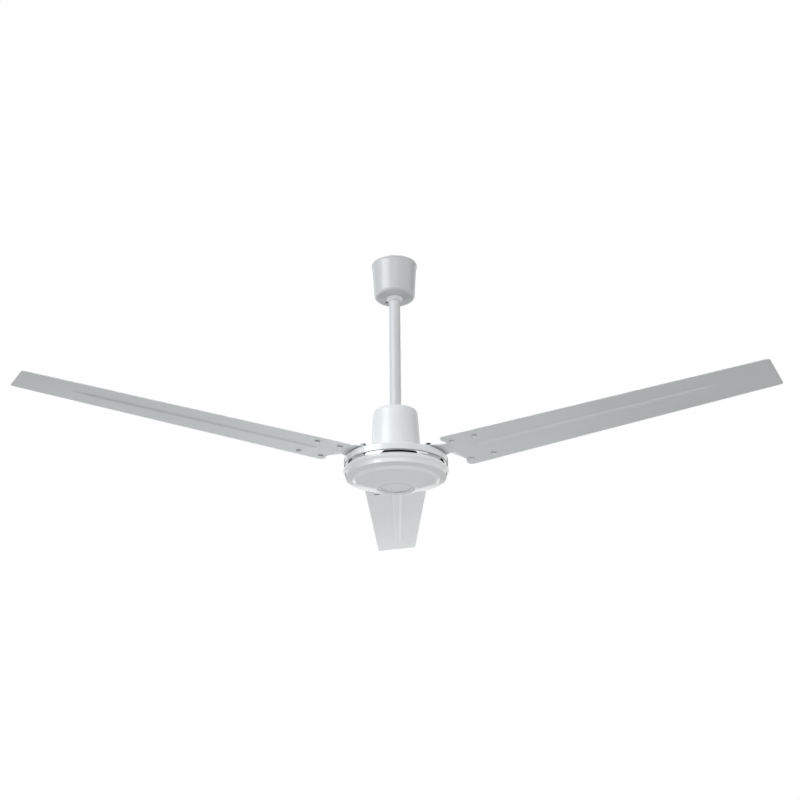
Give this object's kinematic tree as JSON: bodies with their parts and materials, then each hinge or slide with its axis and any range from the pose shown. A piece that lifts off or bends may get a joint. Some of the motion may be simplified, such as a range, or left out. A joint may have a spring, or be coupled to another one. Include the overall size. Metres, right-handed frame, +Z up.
{
  "type": "ceiling fan",
  "caption": "Ceiling fan with tapered sheet-metal blades on pressed arms, an outer-rotor motor, a down rod with sliding canopy and cup, and a roller hanger bracket.",
  "frame": {"origin": "centre of the ceiling bracket's top face, which lies on the ceiling", "axes": "+Z up into the ceiling along the rod, +Y along the first blade, +X to the right of it"},
  "size_m": [1.2723, 1.1035, 0.4818],
  "materials": {
    "white_enamel": "satin white enamel on pressed steel",
    "cast_enamel": "satin white enamel on cast aluminium",
    "badge_white": "smooth white plastic disc",
    "chrome": "bright plated band",
    "bush_white": "moulded white plastic",
    "bright_steel": "bright plated steel",
    "zinc_steel": "zinc-plated steel",
    "coupler_iron": "bare casting, machined bores",
    "ground_steel": "ground bearing steel",
    "rubber": "black rubber",
    "capacitor_case": "moulded capacitor case",
    "terminal_brass": "bare brass screws",
    "lead_sleeve": "red sleeving",
    "winding_wire": "enamelled copper wire",
    "lamination": "stacked steel sheet",
    "cage_metal": "cast aluminium"
  },
  "bodies": {
    "ceiling_mount": {"ceiling_bracket": "zinc_steel", "hanger_bolt": "zinc_steel", "hanger_nut": "zinc_steel", "hanger_split_pin": "zinc_steel", "hanger_roller": "rubber"},
    "hanging_rod": {"shackle": "zinc_steel", "shackle_bolt": "zinc_steel", "shackle_nut": "zinc_steel", "shackle_split_pin": "zinc_steel", "down_rod": "white_enamel", "shaft_coupler": "coupler_iron", "coupling_bolt": "zinc_steel", "coupling_nut": "zinc_steel", "coupling_split_pin": "zinc_steel", "rod_grub_screw": "zinc_steel", "shaft_grub_screws": "zinc_steel", "wiring_tray": "zinc_steel", "tray_screws": "zinc_steel", "capacitor": "capacitor_case", "capacitor_clamp": "zinc_steel", "clamp_screws": "zinc_steel", "terminal_block": "bush_white", "terminal_screws": "terminal_brass", "motor_leads": "lead_sleeve", "motor_shaft": "ground_steel", "shaft_circlip": "zinc_steel", "stator_core": "lamination", "stator_windings": "winding_wire", "upper_bearing_inner_race": "ground_steel", "lower_bearing_inner_race": "ground_steel"},
    "canopy": {"canopy": "white_enamel", "canopy_bush": "bush_white"},
    "coupling_cover": {"coupling_cover": "white_enamel", "cover_grip_ring": "rubber"},
    "rotor": {"top_cover": "cast_enamel", "chrome_band": "chrome", "bottom_cover": "cast_enamel", "badge_disc": "badge_white", "housing_screws": "bright_steel", "rotor_core": "lamination", "rotor_cage": "cage_metal", "upper_bearing_outer_race": "ground_steel", "upper_bearing_balls": "ground_steel", "lower_bearing_outer_race": "ground_steel", "lower_bearing_balls": "ground_steel", "blade_arm_1": "white_enamel", "blade_arm_2": "white_enamel", "blade_arm_3": "white_enamel", "blade_1": "white_enamel", "blade_2": "white_enamel", "blade_3": "white_enamel", "blade_rivets_1": "white_enamel", "blade_rivets_2": "white_enamel", "blade_rivets_3": "white_enamel", "arm_bolts": "bright_steel", "arm_lock_washers": "bright_steel"}
  },
  "joints": [
    {"name": "hanger_swing", "type": "hinge", "parent": "ceiling_mount", "child": "hanging_rod", "pos_m": [0, 0, -0.02697], "axis": [1, 0, 0], "range_deg": [-4, 4]},
    {"name": "canopy_slide", "type": "slide", "parent": "hanging_rod", "child": "canopy", "axis": [0, 0, -1], "range_m": [0, 0.08]},
    {"name": "cover_slide", "type": "slide", "parent": "hanging_rod", "child": "coupling_cover", "axis": [0, 0, 1], "range_m": [0, 0.08]},
    {"name": "rotor_spin", "type": "hinge", "parent": "hanging_rod", "child": "rotor", "pos_m": [0, 0, -0.436], "axis": [0, 0, 1], "continuous": true}
  ]
}
